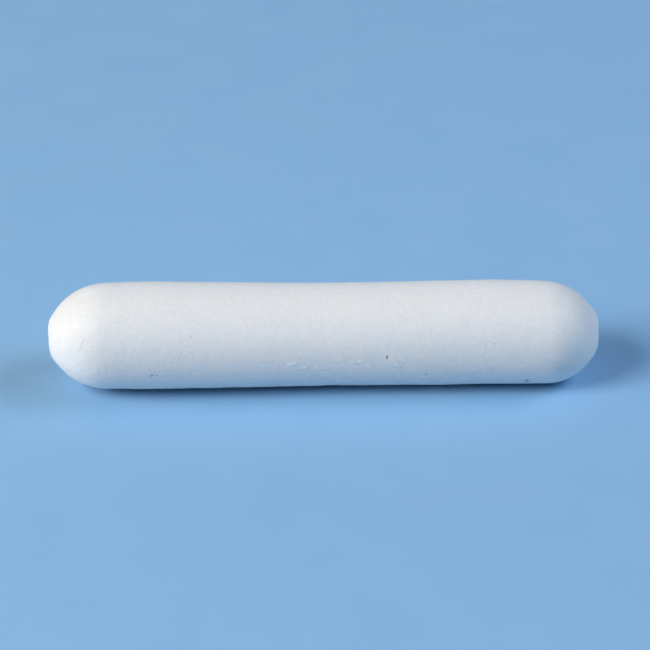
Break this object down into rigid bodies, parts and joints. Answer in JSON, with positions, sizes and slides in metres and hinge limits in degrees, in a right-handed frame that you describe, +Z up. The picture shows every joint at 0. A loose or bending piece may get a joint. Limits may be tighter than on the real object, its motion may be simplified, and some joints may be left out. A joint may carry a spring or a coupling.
{
  "type": "magnetic stir bar",
  "caption": "Smooth white cylindrical magnetic stir bar with domed ends, a magnet rod sealed in a moulded fluoropolymer jacket.",
  "frame": {"origin": "on the plane the bar lies on, under the centre of its box", "axes": "+X along the bar from its thick end to its thin end (the bar's own axis falls a quarter of a degree towards +X, because both shoulders touch the plane), +Z up, +Y away from the viewer"},
  "size_m": [0.04, 0.0078, 0.0078],
  "materials": {
    "jacket_ptfe": "satin, waxy white PTFE with a faint mottle",
    "magnet_alloy": "ground grey cast magnet alloy"
  },
  "bodies": {
    "root": {"jacket": "jacket_ptfe", "magnet": "magnet_alloy"}
  },
  "joints": []
}
